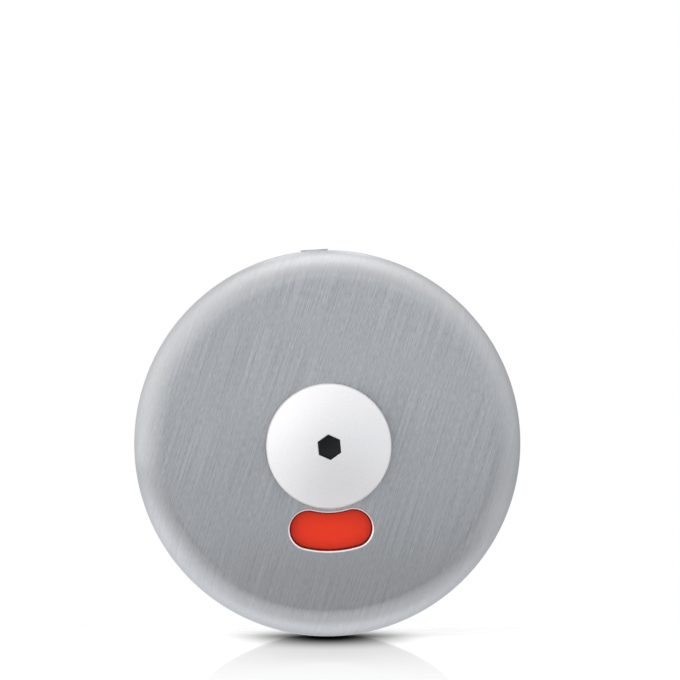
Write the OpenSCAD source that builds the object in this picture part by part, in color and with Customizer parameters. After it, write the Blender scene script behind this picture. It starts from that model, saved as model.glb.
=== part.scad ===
// Toilet indicator bolt for a panel door. The outer half is a round rose with an indicator window
// and a hex release button. The inner half is a case with a thumb turn and a rack-driven bolt.
// The spindle lies along Y, the outer door face is y = 0, the public side is -Y, the strike side
// is +X and +Z is up. The bolt is drawn thrown, with red in the window.

/* [Door] */
// Thickness of the door panel between the two halves
door_t = 13; // [8:0.5:25]
// Room between the guide ribs and the heads of the fixing screws
post_margin = 0.3; // [0.2:0.1:4]

/* [Outer cover] */
// Diameter of the outer cover
cover_d = 70; // [66:1:90]
// Height of the outer cover's face above the door
cover_h = 10; // [9.5:0.5:14]
// Outside radius of the outer cover's pressed edge
cover_bend_r = 5.5; // [3:0.5:6]
// Sheet thickness of both pressed covers
sheet_t = 1; // [0.8:0.1:1.4]
// Width of the pry notch in the skirt
notch_w = 5.6; // [3:0.1:8]
// Height of the pry notch from the door
notch_h = 3.6; // [2.5:0.1:4]
// Angle of the pry notch around the rose
notch_angle = 92; // [70:1:110]

/* [Indicator window] */
// Radius of the window's centre line
window_r = 15.6; // [14.5:0.1:18]
// Width of the window across its centre line
window_w = 6.8; // [4:0.1:8]
// Half of the angle between the centres of the window's round ends
window_half_angle = 15; // [8:1:25]
// Width and depth of the rim coined around the window's front edge
window_rim = 0.3; // [0.1:0.05:0.5]

/* [Release button] */
// Diameter of the button's head
button_d = 22.5; // [18:0.1:26]
// Height of the straight side under the dome
button_side = 1.6; // [1:0.1:4]
// Radius of the domed face
button_dome_r = 22; // [18:1:60]
// Radius of the edge between the side and the dome
button_edge_r = 0.8; // [0.5:0.1:3]
// Gap between the head and the cover
button_gap = 0.6; // [0.3:0.1:1.5]
// Width across the flats of the hex key socket
hex_af = 4; // [3:0.5:5]
// Depth of the hex key socket
hex_depth = 4; // [2.5:0.5:5]
// Turn of the hex key socket from corner up
hex_turn = 4.2; // [0:0.2:30]

/* [Turning parts] */
// Width of the square spindle
spindle_w = 5; // [4:0.5:6]
// Wall between the socket's corners and the journal
socket_wall = 1.4; // [1.2:0.1:2.5]
// Thickness of the indicator disc
disc_t = 1.5; // [1.2:0.1:2]
// Thickness of the colour labels
label_t = 0.3; // [0.2:0.1:0.6]
// Angle that each colour label covers
label_angle = 86; // [70:1:88]
// Wall of both bushes
bush_wall = 1.5; // [1:0.1:2.5]

/* [Rack and pinion] */
// Gear module
gear_module = 1; // [0.8:0.1:1.2]
// Number of pinion teeth
pinion_teeth = 13; // [12:1:16]
// Pressure angle
pressure_angle = 25; // [22:1:25]
// Play between the flanks along the pitch line
backlash = 0.24; // [0.16:0.02:0.4]

/* [Bolt] */
// Thickness of the bolt
bolt_t = 4; // [3:0.5:6]
// Height of the bars above and below the bolt's window
bolt_leg = 2.5; // [2:0.5:4]
// Length of the bar behind the bolt's window
bolt_tail = 3.4; // [2.5:0.1:6]
// Solid length that stays behind the case wall with the bolt thrown
bolt_neck = 4.3; // [3:0.1:8]
// Corner radius of the bolt's nose
bolt_nose_r = 3; // [1:0.5:5]
// Length of the nose outside the case with the bolt drawn back
bolt_stub = 0.3; // [0.2:0.1:2]

/* [Inner case] */
// Thickness of both base floors
floor_t = 2.5; // [2.2:0.1:4]
// Thickness of the guide ribs
rib_t = 3.2; // [3:0.1:5]
// Thickness of the retainer plate
retainer_t = 1.5; // [1.4:0.1:2.5]
// Room between the retainer plate and the inner cover
case_room = 1.65; // [0.5:0.05:4]
// Outside radius of the inner cover's pressed edge
case_bend_r = 4; // [2:0.5:4]
// Corner radius of the case at the strike side
case_corner_r = 6; // [5:0.5:9]

/* [Thumb turn] */
// Diameter of the thumb turn's foot
thumb_d = 24; // [22:1:30]
// Height of the foot
thumb_foot_h = 5.5; // [5:0.5:8]
// Length of the wing
wing_l = 28; // [20:1:36]
// Thickness of the wing
wing_t = 7.5; // [5:0.5:9]
// Height of the wing above the foot
wing_h = 14; // [10:1:20]
// Radius around the top of the wing
wing_edge_r = 2.8; // [1:0.1:3]

/* [Fasteners] */
// Outside diameter of the fixing posts
post_d = 8; // [7:0.5:9]
// Thread diameter of the fixing screws and the grub screw
fixing_screw_d = 4; // [3:0.5:5]
// Thread diameter of the retainer and cover screws
small_screw_d = 2.5; // [2:0.5:3]

/* [Fits] */
// Radial clearance of turning pieces
turn_fit = 0.05; // [0.02:0.01:0.08]
// Clearance beside sliding pieces
slide_fit = 0.15; // [0.1:0.05:0.3]
// Clearance between assembled pieces
push_fit = 0.1; // [0.05:0.05:0.2]
// Clearance between the covers and their bases
cover_fit = 0.3; // [0.2:0.05:0.5]

/* [Hidden] */
$fn = 96;

// Overshoot of cutters
over = 0.5;

// Shaft radii, from the spindle outwards
socket_w = spindle_w + 2 * turn_fit;
journal_r = socket_w / sqrt(2) + socket_wall;
key_r = journal_r + 1;
key_half_w = journal_r + push_fit;
collar_r = key_r + 1;
bush_r = journal_r + turn_fit + bush_wall;
collar_hole_r = collar_r + cover_fit;

// Rack and pinion
pitch_r = gear_module * pinion_teeth / 2;
addendum = gear_module;
dedendum = 1.25 * gear_module;
tip_r = pitch_r + addendum;
root_r = pitch_r - dedendum;
base_circle_r = pitch_r * cos(pressure_angle);
rack_pitch = PI * gear_module;
throw = pitch_r * PI / 2;
tip_gap = 0.5;

// Bolt, along X with the bolt thrown
slot_back = -(tip_r + tip_gap);
slot_front = tip_r + tip_gap + throw;
slot_bottom = -(tip_r + tip_gap);
bolt_half_h = pitch_r + dedendum + bolt_leg;
bolt_rear = slot_back - bolt_tail;
case_front = slot_front + bolt_neck + sheet_t;
bolt_nose = case_front + bolt_stub + throw;

// Inner half, heights above the inner door face
bolt_z = floor_t + slide_fit;
channel_top = bolt_z + bolt_t + slide_fit;
retainer_top = channel_top + retainer_t;
case_under = retainer_top + case_room;
case_h = case_under + sheet_t;
slot_top = channel_top + slide_fit;
case_bend = min(case_bend_r, case_h - slot_top);
channel_half_h = bolt_half_h + slide_fit;
rib_half_h = channel_half_h + rib_t;

// Fixing posts and their screws' heads
fixing_head_r = 0.9 * fixing_screw_d;
fixing_head_h = 0.6 * fixing_screw_d;
post_y = rib_half_h + post_margin + fixing_head_r;
post_r = post_d / 2;
post_flange_r = post_r + 1;
post_flange_t = 1.2;

// Outer half, heights above the outer door face
cover_in_r = cover_d / 2 - sheet_t;
base_r = cover_in_r - cover_fit;
cover_under = cover_h - sheet_t;
label_gap = 0.8;
disc_top = cover_under - label_gap;
disc_bottom = disc_top - disc_t;
washer_h = 0.7;
bush_flange_t = 0.8;
bush_flange_r = bush_r + 1.2;
boss_top = disc_bottom - washer_h - bush_flange_t;
boss_r = bush_r + 2.5;
rim_t = 2.1;
rim_h = cover_h - cover_bend_r;
skirt_gap = 0.3;

// Circlip and its groove near the button's inner end
journal_end = 0.4;
clip_t = 0.8;
clip_z = journal_end + 0.6;
clip_groove_r = journal_r - 0.7;
clip_r = journal_r + 2;
clip_lug_r = 1.3;
clip_open = 64;
clip_recess_r = clip_r + clip_lug_r + 0.4;
clip_recess_h = clip_z + clip_t + slide_fit;

// Indicator disc and the well that it turns in
indicator_r = window_r + window_w / 2 + 2;
label_in_r = collar_r + 1;
label_out_r = indicator_r - 0.8;
well_r = max(indicator_r + 1, post_y + post_flange_r + push_fit);
well_wall = 2;
rib_web_t = 1.6;
rib_web_drop = 0.6;

// Webs of the outer base and the snap pips that hold the outer cover in the base's groove
first_angle = 30;
web_count = 6;
pip_r = 0.6;
pip_reach = cover_fit + 0.25;
pip_z = skirt_gap + 1.4;
pip_count = 3;
pip_angle = 10;
pip_groove_depth = 0.5;
pip_groove_h = 1.3;

// Guard tab of the base under the pry notch
tab_t = 0.8;
tab_proud = 0.2;

// Button head
head_z = cover_h + button_gap;
head_r = button_d / 2;
edge_z = head_z + button_side;
dome_z = edge_z - sqrt(pow(button_dome_r - button_edge_r, 2) - pow(head_r - button_edge_r, 2));
dome_join_r = (head_r - button_edge_r) * button_dome_r / (button_dome_r - button_edge_r);
button_top = dome_z + button_dome_r;
hex_r = hex_af / sqrt(3);
button_socket_top = disc_bottom;

// Inner case outline
case_margin = 1.3;
base_half_h = post_y + fixing_head_r + case_margin;
case_half_h = base_half_h + cover_fit + sheet_t;
base_front = case_front - sheet_t - cover_fit;
base_corner_r = case_corner_r - sheet_t - cover_fit;
rear_gap = 1.5;
end_x = bolt_rear - throw - rear_gap + sqrt(pow(base_half_h, 2) - pow(channel_half_h, 2));
rib_rear = end_x - sqrt(pow(base_half_h, 2) - pow(rib_half_h, 2)) + 1;
rib_front = base_front;

// Inner bush, pinion hubs and thumb turn
hub_gap = 0.2;
washer_t = 0.5;
foot_z = case_h + washer_t + turn_fit;
foot_top = foot_z + thumb_foot_h;
foot_edge_r = 1.5;
collar_end = retainer_top + 0.3;
spindle_reach = 3;
spindle_in = foot_top + spindle_reach;
thumb_socket_top = spindle_in + 0.5;

// Friction spring in the upper guide rib
spring_t = 0.3;
spring_half_l = 6.5;
spring_rise = 1;
spring_pocket_d = spring_t + spring_rise + 0.05;
spring_arc_r = (pow(spring_half_l, 2) + pow(spring_rise, 2)) / (2 * spring_rise);
spring_arc_angle = asin(spring_half_l / spring_arc_r);
spring_crown = bolt_half_h + 0.03;

// Screw places
retainer_screw_gap = 6.5;
retainer_screw_x = spring_half_l + retainer_screw_gap;
retainer_screw_y = channel_half_h + rib_t / 2;
retainer_head_r = small_screw_d * 0.92;
retainer_head_h = retainer_head_r - small_screw_d / 2;
retainer_screw_l = 6;
thread_fit = 0.06;
post_end = door_t + 0.5;
post_socket_r = post_r + cover_fit;
post_socket_d = 1;
post_bore_top = 0.5;
fixing_tip = 2;
lug_x = 12;
lug_w = 7;
lug_d = 4.5;
lug_h = 5.6;
cover_screw_z = 3.6;
cover_head_r = 0.9 * small_screw_d;
cover_head_h = 0.55 * small_screw_d;
cover_screw_l = 4.4;

// Colours as photographed, or as such pieces are
brushed_steel = [0.63, 0.64, 0.66];
polished_steel = [0.91, 0.91, 0.92];
zinc = [0.55, 0.56, 0.58];
steel = [0.72, 0.72, 0.74];
brass = [0.78, 0.64, 0.34];
black_nylon = [0.13, 0.13, 0.14];
white_nylon = [0.88, 0.88, 0.85];
signal_red = [0.91, 0.27, 0.18];
signal_green = [0.16, 0.62, 0.29];

// Turns the lock axis from +Z, outwards, to -Y
module outer_side() {
  rotate([90, 0, 0])
    children();
}

// Puts heights above the inner door face along +Y
module inner_side() {
  rotate([90, 0, 0])
    translate([0, 0, -door_t])
      mirror([0, 0, 1])
        children();
}

// Repeats its children at the top and the bottom fixing
module at_posts() {
  for (side = [-1, 1])
    translate([0, side * post_y, 0])
      children();
}

// Flat-sided ring
module ring(outer_r, inner_r, h) {
  difference() {
    cylinder(r = outer_r, h = h);
    translate([0, 0, -over])
      cylinder(r = inner_r, h = h + 2 * over);
  }
}

// Quarter of a disc, the section of a rounded edge
module edge_section(r) {
  intersection() {
    circle(r);
    square(r);
  }
}

// Disc whose upper edge is rounded
module rounded_disc(r, h, edge_r) {
  rotate_extrude()
    union() {
      square([r, h - edge_r]);
      square([r - edge_r, h]);
      translate([r - edge_r, h - edge_r])
        edge_section(edge_r);
    }
}

// Square bar or socket about the axis
module square_bar(w, z0, z1) {
  translate([-w / 2, -w / 2, z0])
    cube([w, w, z1 - z0]);
}

// Pie-shaped band about the axis, centred on an angle
module band(inner_r, outer_r, z0, z1, middle, angle) {
  rotate([0, 0, middle - angle / 2])
    rotate_extrude(angle = angle)
      translate([inner_r, z0])
        square([outer_r - inner_r, z1 - z0]);
}

// Points of an arc, from its first angle to its last
function arc_points(centre, r, from, to, steps) =
  [
    for (i = [0 : steps])
      let (a = from + (to - from) * i / steps)
        centre + r * [cos(a), sin(a)]
  ];

// Points of an arc without its two ends
function inner_arc_points(centre, r, from, to, steps) =
  [for (i = [1 : steps - 1]) arc_points(centre, r, from, to, steps)[i]];

// Kidney outline of the window: an arc of a ring with round ends
module window_outline(w) {
  steps = 16;
  half = w / 2;
  from = -90 - window_half_angle;
  to = -90 + window_half_angle;
  polygon(concat(
    arc_points([0, 0], window_r + half, from, to, steps),
    inner_arc_points(window_r * [cos(to), sin(to)], half, to, to + 180, steps),
    arc_points([0, 0], window_r - half, to, from, steps),
    inner_arc_points(window_r * [cos(from), sin(from)], half, from + 180, from + 360, steps)
  ));
}

// Cutter for the window and the rim coined around its front edge
module window_cutter() {
  translate([0, 0, cover_under - over])
    linear_extrude(sheet_t + 2 * over)
      window_outline(window_w);
  translate([0, 0, cover_h - window_rim])
    linear_extrude(window_rim + over)
      window_outline(window_w + 2 * window_rim);
}

// Ring segments that stand in from the skirt, and their dents outside
module pips(r) {
  for (i = [0 : pip_count - 1])
    rotate([0, 0, first_angle + i * 360 / pip_count - pip_angle / 2])
      rotate_extrude(angle = pip_angle)
        translate([r, pip_z])
          circle(pip_r, $fn = 32);
}

module outer_cover() {
  pip_centre_r = cover_in_r - pip_reach + pip_r;
  color(brushed_steel)
    outer_side()
      difference() {
        union() {
          difference() {
            rounded_disc(cover_d / 2, cover_h, cover_bend_r);
            rounded_disc(cover_in_r, cover_under, cover_bend_r - sheet_t);
          }
          pips(pip_centre_r);
        }
        translate([0, 0, -over])
          cylinder(r = cover_d / 2 + over, h = skirt_gap + over);
        translate([0, 0, cover_under - over])
          cylinder(r = collar_hole_r, h = sheet_t + 2 * over);
        window_cutter();
        pips(pip_centre_r + sheet_t);
        rotate([0, 0, notch_angle])
          translate([cover_in_r - over, -notch_w / 2, 0])
            cube([sheet_t + 2 * over, notch_w, notch_h]);
      }
}

module outer_base() {
  color(zinc)
    outer_side()
      difference() {
        union() {
          cylinder(r = base_r, h = floor_t);
          ring(base_r, base_r - rim_t, rim_h);
          ring(well_r + well_wall, well_r, cover_under);
          cylinder(r = boss_r, h = boss_top);
          for (i = [0 : web_count - 1])
            rotate([0, 0, first_angle + i * 360 / web_count])
              translate([well_r + well_wall / 2, -rib_web_t / 2, 0])
                cube([base_r - well_r - well_wall / 2 - rim_t / 2, rib_web_t, rim_h - rib_web_drop]);
          rotate([0, 0, notch_angle])
            translate([base_r - rim_t, -notch_w / 2 + cover_fit, 0])
              cube([cover_d / 2 + tab_proud - base_r + rim_t, notch_w - 2 * cover_fit, tab_t]);
        }
        translate([0, 0, -over])
          cylinder(r = bush_r, h = boss_top + 2 * over);
        translate([0, 0, -over])
          cylinder(r = clip_recess_r, h = clip_recess_h + over);
        at_posts()
          translate([0, 0, -over])
            cylinder(r = post_r + push_fit, h = floor_t + 2 * over);
        translate([0, 0, pip_z - pip_groove_h / 2])
          ring(base_r + over, base_r - pip_groove_depth, pip_groove_h);
      }
}

// Flat-sided hole or key section
module key_section(r, half_w, z0, z1) {
  intersection() {
    translate([0, 0, z0])
      cylinder(r = r, h = z1 - z0);
    translate([-r, -half_w, z0])
      cube([2 * r, 2 * half_w, z1 - z0]);
  }
}

// Half profile of the domed head, with a rolled edge that meets the dome smoothly
module head_profile() {
  translate([0, head_z])
    square([head_r, button_side]);
  translate([head_r - button_edge_r, edge_z])
    circle(button_edge_r);
  intersection() {
    translate([0, dome_z])
      circle(button_dome_r, $fn = 180);
    translate([0, edge_z])
      square([dome_join_r, button_dome_r]);
  }
}

module release_button() {
  color(polished_steel)
    outer_side()
      difference() {
        union() {
          rotate_extrude()
            intersection() {
              head_profile();
              translate([0, head_z])
                square([head_r + over, button_top]);
            }
          translate([0, 0, disc_top])
            cylinder(r = collar_r, h = head_z - disc_top + button_side / 2);
          key_section(key_r, key_half_w, disc_bottom, disc_top + 1);
          translate([0, 0, journal_end])
            cylinder(r = journal_r, h = disc_top - journal_end + 1);
        }
        translate([0, 0, clip_z - push_fit / 2])
          ring(journal_r + over, clip_groove_r, clip_t + push_fit);
        square_bar(socket_w, journal_end - over, button_socket_top);
        translate([0, 0, button_top - hex_depth])
          rotate([0, 0, 90 + hex_turn])
            cylinder(r = hex_r, h = hex_depth + over, $fn = 6);
      }
}

module indicator_disc() {
  recess = label_angle + 1;
  color(black_nylon)
    outer_side()
      difference() {
        translate([0, 0, disc_bottom])
          cylinder(r = indicator_r, h = disc_t);
        key_section(key_r + push_fit, key_half_w + push_fit, disc_bottom - over, disc_top + over);
        for (middle = [-90, 180])
          band(label_in_r - push_fit, label_out_r + push_fit,
               disc_top - label_t, disc_top + over, middle, recess);
      }
}

// Colour field let into the indicator disc
module label(middle) {
  outer_side()
    band(label_in_r, label_out_r, disc_top - label_t, disc_top, middle, label_angle);
}

module red_label() {
  color(signal_red)
    label(-90);
}

module green_label() {
  color(signal_green)
    label(180);
}

module outer_bush() {
  color(brass)
    outer_side()
      difference() {
        union() {
          translate([0, 0, clip_recess_h])
            cylinder(r = bush_r, h = boss_top - clip_recess_h);
          translate([0, 0, boss_top])
            cylinder(r = bush_flange_r, h = bush_flange_t);
        }
        cylinder(r = journal_r + turn_fit, h = cover_h);
      }
}

// Conical spring washer between the bush and the indicator disc
module spring_washer() {
  washer_in = journal_r + 0.3;
  washer_out = bush_flange_r;
  strip = 0.25;
  bottom = boss_top + bush_flange_t;
  top = disc_bottom;
  color(steel)
    outer_side()
      rotate_extrude()
        polygon([
          [washer_out, bottom], [washer_out, bottom + strip],
          [washer_in, top], [washer_in, top - strip]
        ]);
}

module circlip() {
  lug_centre = clip_r;
  lug_turn = clip_open / 2 + 6;
  color(steel)
    outer_side()
      translate([0, 0, clip_z])
        difference() {
          union() {
            band(clip_groove_r + turn_fit, clip_r, 0, clip_t, -90, 360 - clip_open);
            for (side = [-1, 1])
              rotate([0, 0, 90 + side * lug_turn])
                translate([lug_centre, 0, 0])
                  cylinder(r = clip_lug_r, h = clip_t);
          }
          for (side = [-1, 1])
            rotate([0, 0, 90 + side * lug_turn])
              translate([lug_centre, 0, -over])
                cylinder(r = clip_lug_r / 2, h = clip_t + 2 * over);
        }
}

module fixing_posts() {
  color(steel)
    outer_side()
      at_posts()
        difference() {
          union() {
            translate([0, 0, -post_end])
              cylinder(r = post_r, h = post_end + floor_t);
            translate([0, 0, floor_t])
              cylinder(r = post_flange_r, h = post_flange_t);
          }
          translate([0, 0, -post_end - over])
            cylinder(r = fixing_screw_d / 2 + thread_fit, h = post_end + over + post_bore_top);
        }
}

// Pan-head screw along -Z with its head's underside at z = 0
module pan_screw(d, head_r, head_h, length) {
  recess_w = head_r * 0.9;
  recess_t = d * 0.22;
  difference() {
    union() {
      rounded_disc(head_r, head_h, head_h * 0.45);
      translate([0, 0, -length])
        cylinder(r = d / 2, h = length + head_h / 2);
    }
    for (turn = [0, 90])
      rotate([0, 0, turn])
        translate([-recess_w / 2, -recess_t / 2, head_h * 0.4])
          cube([recess_w, recess_t, head_h]);
  }
}

module fixing_screws() {
  color(steel)
    inner_side()
      at_posts()
        translate([0, 0, floor_t])
          pan_screw(fixing_screw_d, fixing_head_r, fixing_head_h, floor_t + door_t - fixing_tip);
}

module spindle() {
  color(steel)
    outer_side()
      square_bar(spindle_w, -door_t - spindle_in, button_socket_top - 0.3);
}

// Outline with a half-round end, straight flanks and two rounded strike corners
module case_outline(half_h, front, corner_r) {
  translate([end_x, 0])
    circle(half_h);
  translate([end_x, -half_h])
    square([front - corner_r - end_x, 2 * half_h]);
  translate([front - corner_r - over, -half_h + corner_r])
    square([corner_r + over, 2 * (half_h - corner_r)]);
  for (side = [-1, 1])
    translate([front - corner_r, side * (half_h - corner_r)])
      circle(corner_r);
}

// Solid on the case outline with its upper edge rounded all round
module case_solid(half_h, front, corner_r, h, edge_r) {
  flank = front - corner_r - end_x;
  side_h = half_h - corner_r;
  linear_extrude(h - edge_r)
    case_outline(half_h, front, corner_r);
  linear_extrude(h)
    case_outline(half_h - edge_r, front - edge_r, corner_r - edge_r);
  translate([0, 0, h - edge_r]) {
    translate([end_x, 0, 0])
      rotate([0, 0, 90])
        rotate_extrude(angle = 180)
          translate([half_h - edge_r, 0])
            edge_section(edge_r);
    for (side = [-1, 1]) {
      translate([end_x, side * (half_h - edge_r), 0])
        rotate([90, 0, 90])
          linear_extrude(flank)
            mirror([side < 0 ? 1 : 0, 0, 0])
              edge_section(edge_r);
      translate([front - corner_r, side * side_h, 0])
        rotate([0, 0, side < 0 ? -90 : 0])
          rotate_extrude(angle = 90)
            translate([corner_r - edge_r, 0])
              edge_section(edge_r);
    }
    translate([front - edge_r, side_h, 0])
      rotate([90, 0, 0])
        linear_extrude(2 * side_h)
          edge_section(edge_r);
  }
}

// Repeats its children at the four retainer screws
module at_retainer_screws() {
  for (x = [-retainer_screw_x, retainer_screw_x])
    for (y = [-retainer_screw_y, retainer_screw_y])
      translate([x, y, 0])
        children();
}

// Repeats its children at the cover screws, with +Z pointing out of the case wall
module at_cover_screws() {
  for (side = [-1, 1])
    translate([lug_x, side * case_half_h, cover_screw_z])
      rotate([side * -90, 0, 0])
        children();
}

module inner_base() {
  lug_y = base_half_h - lug_d / 2;
  color(zinc)
    inner_side()
      difference() {
        union() {
          linear_extrude(floor_t)
            case_outline(base_half_h, base_front, base_corner_r);
          for (side = [-1, 1]) {
            translate([rib_rear, side * (channel_half_h + rib_t / 2) - rib_t / 2, 0])
              cube([rib_front - rib_rear, rib_t, channel_top]);
            translate([lug_x - lug_w / 2, side * lug_y - lug_d / 2, 0])
              cube([lug_w, lug_d, lug_h]);
          }
        }
        translate([0, 0, -over])
          cylinder(r = bush_r, h = floor_t + 2 * over);
        at_posts() {
          translate([0, 0, -over])
            cylinder(r = fixing_screw_d / 2 + cover_fit, h = floor_t + 2 * over);
          translate([0, 0, -over])
            cylinder(r = post_socket_r, h = post_socket_d + over);
        }
        at_retainer_screws()
          translate([0, 0, retainer_top - retainer_screw_l - over])
            cylinder(r = small_screw_d / 2 + thread_fit, h = retainer_screw_l + 2 * over);
        at_cover_screws()
          translate([0, 0, -cover_screw_l - over])
            cylinder(r = small_screw_d / 2 + thread_fit, h = cover_screw_l + over);
        translate([-spring_half_l - slide_fit, channel_half_h - over, bolt_z])
          cube([2 * (spring_half_l + slide_fit), spring_pocket_d - slide_fit + over, bolt_t + over]);
      }
}

module inner_bush() {
  color(brass)
    inner_side()
      translate([0, 0, hub_gap])
        ring(bush_r, journal_r + turn_fit, floor_t - hub_gap);
}

// Window in the bolt: plain below, with rack teeth along its upper edge
module rack_window() {
  slope = tan(pressure_angle);
  gap_half = rack_pitch / 4 + backlash / 4;
  gap_low = gap_half + addendum * slope;
  gap_high = gap_half - dedendum * slope;
  low = pitch_r - addendum;
  high = pitch_r + dedendum;
  first = ceil((slot_back + gap_low) / rack_pitch);
  last = floor((slot_front - gap_low) / rack_pitch);
  teeth = [
    for (k = [last : -1 : first])
      for (p = [[gap_low, low], [gap_high, high], [-gap_high, high], [-gap_low, low]])
        [k * rack_pitch + p[0], p[1]]
  ];
  polygon(concat(
    [[slot_back, low], [slot_back, slot_bottom], [slot_front, slot_bottom], [slot_front, low]],
    teeth
  ));
}

module bolt() {
  color(steel)
    inner_side()
      translate([0, 0, bolt_z])
        linear_extrude(bolt_t)
          difference() {
            union() {
              translate([bolt_rear, -bolt_half_h])
                square([bolt_nose - bolt_nose_r - bolt_rear, 2 * bolt_half_h]);
              translate([bolt_nose - bolt_nose_r - over, -bolt_half_h + bolt_nose_r])
                square([bolt_nose_r + over, 2 * (bolt_half_h - bolt_nose_r)]);
              for (side = [-1, 1])
                translate([bolt_nose - bolt_nose_r, side * (bolt_half_h - bolt_nose_r)])
                  circle(bolt_nose_r);
            }
            rack_window();
          }
}

// Point of an involute of the base circle, rolled off by an angle in degrees
function involute(roll) =
  base_circle_r * [cos(roll) + roll * PI / 180 * sin(roll), sin(roll) - roll * PI / 180 * cos(roll)];

// Turns a point about the axis
function turned(p, a) = [p[0] * cos(a) - p[1] * sin(a), p[0] * sin(a) + p[1] * cos(a)];

// One pinion tooth along +X, from inside the root circle to the tip
module pinion_tooth() {
  steps = 8;
  tip_roll = sqrt(pow(tip_r / base_circle_r, 2) - 1) * 180 / PI;
  pitch_lean = tan(pressure_angle) * 180 / PI - pressure_angle;
  play = backlash / 4 / pitch_r * 180 / PI;
  half_angle = 90 / pinion_teeth - play + pitch_lean;
  foot_r = root_r - 0.4;
  flank = [for (i = [0 : steps]) turned(involute(tip_roll * i / steps), -half_angle)];
  lower = concat([turned([foot_r, 0], -half_angle)], flank);
  upper = [for (i = [len(lower) - 1 : -1 : 0]) [lower[i][0], -lower[i][1]]];
  polygon(concat(lower, upper));
}

module pinion() {
  gear_z = bolt_z + push_fit;
  gear_t = bolt_t - 2 * push_fit;
  color(brass)
    inner_side()
      difference() {
        union() {
          translate([0, 0, gear_z])
            linear_extrude(gear_t)
              union() {
                circle(root_r);
                for (i = [0 : pinion_teeth - 1])
                  rotate(90 + i * 360 / pinion_teeth)
                    pinion_tooth();
              }
          translate([0, 0, 2 * hub_gap])
            cylinder(r = journal_r, h = retainer_top - 2 * hub_gap);
        }
        square_bar(socket_w, -over, retainer_top + over);
      }
}

// Bowed leaf whose crown bears on the bolt's upper edge
module friction_spring() {
  width = bolt_t - 2 * push_fit;
  color(steel)
    inner_side()
      translate([0, spring_crown + spring_arc_r, bolt_z + push_fit])
        rotate([0, 0, -90 - spring_arc_angle])
          rotate_extrude(angle = 2 * spring_arc_angle)
            translate([spring_arc_r - spring_t, 0])
              square([spring_t, width]);
}

module retainer_plate() {
  corner = 2;
  rear = rib_rear + 0.5;
  front = rib_front - 0.5;
  half_h = rib_half_h - 0.2;
  color(steel)
    inner_side()
      difference() {
        translate([0, 0, channel_top])
          linear_extrude(retainer_t)
            union() {
              translate([rear, -half_h + corner])
                square([front - rear, 2 * (half_h - corner)]);
              translate([rear + corner, -half_h])
                square([front - rear - 2 * corner, 2 * half_h]);
              for (x = [rear + corner, front - corner])
                for (y = [-half_h + corner, half_h - corner])
                  translate([x, y])
                    circle(corner);
            }
        translate([0, 0, channel_top - over])
          cylinder(r = journal_r + turn_fit, h = retainer_t + 2 * over);
        at_retainer_screws() {
          translate([0, 0, channel_top - over])
            cylinder(r = small_screw_d / 2 + push_fit, h = retainer_t + 2 * over);
          translate([0, 0, retainer_top - retainer_head_h])
            cylinder(r1 = small_screw_d / 2 + push_fit, r2 = retainer_head_r + push_fit,
                     h = retainer_head_h);
        }
      }
}

module retainer_screws() {
  recess_w = 1.3 * retainer_head_r;
  recess_t = 0.5;
  color(steel)
    inner_side()
      at_retainer_screws()
        difference() {
          union() {
            translate([0, 0, retainer_top - retainer_screw_l])
              cylinder(r = small_screw_d / 2, h = retainer_screw_l);
            translate([0, 0, retainer_top - retainer_head_h])
              cylinder(r1 = small_screw_d / 2, r2 = retainer_head_r, h = retainer_head_h);
          }
          for (turn = [0, 90])
            rotate([0, 0, turn])
              translate([-recess_w / 2, -recess_t / 2, retainer_top - retainer_head_h * 0.7])
                cube([recess_w, recess_t, retainer_head_h]);
        }
}

module inner_cover() {
  slot_half_h = bolt_half_h + 2 * slide_fit;
  slot_low = bolt_z - 2 * slide_fit;
  color(brushed_steel)
    inner_side()
      difference() {
        case_solid(case_half_h, case_front, case_corner_r, case_h, case_bend);
        case_solid(case_half_h - sheet_t, case_front - sheet_t, case_corner_r - sheet_t,
                   case_under, case_bend - sheet_t);
        translate([end_x - case_half_h - over, -case_half_h - over, -over])
          cube([case_front - end_x + case_half_h + 2 * over, 2 * (case_half_h + over), skirt_gap + over]);
        translate([0, 0, case_under - over])
          cylinder(r = collar_hole_r, h = sheet_t + 2 * over);
        translate([case_front - sheet_t - over, -slot_half_h, slot_low])
          cube([sheet_t + 2 * over, 2 * slot_half_h, slot_top - slot_low]);
        at_cover_screws()
          translate([0, 0, -sheet_t - over])
            cylinder(r = small_screw_d / 2 + push_fit, h = sheet_t + 2 * over);
      }
}

module cover_screws() {
  color(steel)
    inner_side()
      at_cover_screws()
        pan_screw(small_screw_d, cover_head_r, cover_head_h, cover_screw_l);
}

module thumb_washer() {
  color(white_nylon)
    inner_side()
      translate([0, 0, case_h])
        ring(thumb_d / 2 - 1, collar_r + push_fit, washer_t);
}

// Bar with round ends and a rounded upper edge, lying along X
module wing(l, t, h, edge_r) {
  end_r = t / 2;
  run = l / 2 - end_r;
  translate([-run, -end_r, 0])
    cube([2 * run, t, h - edge_r]);
  translate([-run, -end_r + edge_r, 0])
    cube([2 * run, t - 2 * edge_r, h]);
  for (side = [-1, 1]) {
    translate([side * run, 0, 0])
      rounded_disc(end_r, h, edge_r);
    translate([-run, side * (end_r - edge_r), h - edge_r])
      rotate([90, 0, 90])
        linear_extrude(2 * run)
          mirror([side < 0 ? 1 : 0, 0, 0])
            edge_section(edge_r);
  }
}

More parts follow.
